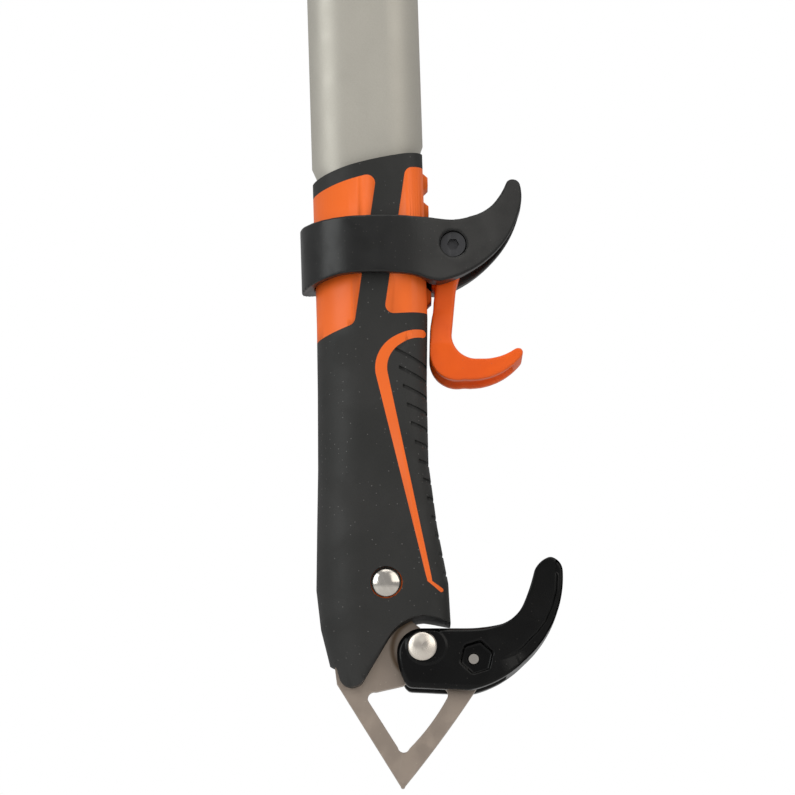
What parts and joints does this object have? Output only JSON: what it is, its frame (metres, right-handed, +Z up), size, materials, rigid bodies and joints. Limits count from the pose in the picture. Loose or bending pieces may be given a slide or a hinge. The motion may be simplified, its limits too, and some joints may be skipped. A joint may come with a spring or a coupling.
{
  "type": "ice climbing tool",
  "caption": "Ice climbing tool: bent tube shaft, rubber grip, triangular spike, hand rest, sliding trigger rest, toothed pick and hammer.",
  "frame": {"origin": "centre of the round eye through the head, which the tool hangs from, midway across its thickness", "axes": "+Z up along the tool, spike down; +X to the front, where the pick and the finger rests are; Y across the blade"},
  "size_m": [0.2122, 0.034, 0.5001],
  "materials": {
    "shaft": "bead-blasted, satin",
    "orange_core": "moulded, satin",
    "soft_cover": "soft, matte",
    "plate": "stainless, stamped and ground",
    "packing": "plain",
    "rivet": "polished dome",
    "rest_black": "moulded, satin gloss",
    "turned_rivet": "turned",
    "collar_black": "moulded, satin",
    "screw": "plain",
    "lever_orange": "moulded, satin",
    "forged": "satin black over forged steel",
    "blade": "ground"
  },
  "bodies": {
    "handle": {"shaft": "shaft", "grip_core": "orange_core", "grip_cover": "soft_cover", "spike_plate": "plate", "tang_spacer_near": "packing", "tang_spacer_far": "packing", "spike_rivet": "rivet", "tang_pin": "rivet", "grip_rest": "rest_black", "rest_rivet": "turned_rivet", "rest_spacers": "packing", "rest_cross_pin": "rivet", "head": "forged", "pick": "blade", "hammer": "forged", "pick_bolt": "screw", "pick_nut": "screw", "hammer_bolt": "screw", "hammer_nut": "screw", "head_rivets": "rivet"},
    "trigger_rest": {"trigger_collar": "collar_black", "lever_screw": "screw", "lever_nut": "screw", "lever_bush": "rivet", "lever_spring": "rivet"},
    "trigger_lever": {"trigger_lever": "lever_orange"}
  },
  "joints": [
    {"name": "trigger_rest_slide", "type": "slide", "parent": "handle", "child": "trigger_rest", "axis": [-0.0314, 0, 0.9995], "range_m": [-0.0082, 0.0082]},
    {"name": "trigger_lever_hinge", "type": "hinge", "parent": "trigger_rest", "child": "trigger_lever", "pos_m": [-0.01984, 0, -0.33341], "axis": [0, -1, 0], "range_deg": [0, 30], "stiffness_Nm_per_rad": 0.04, "deforming": ["lever_spring"]}
  ]
}
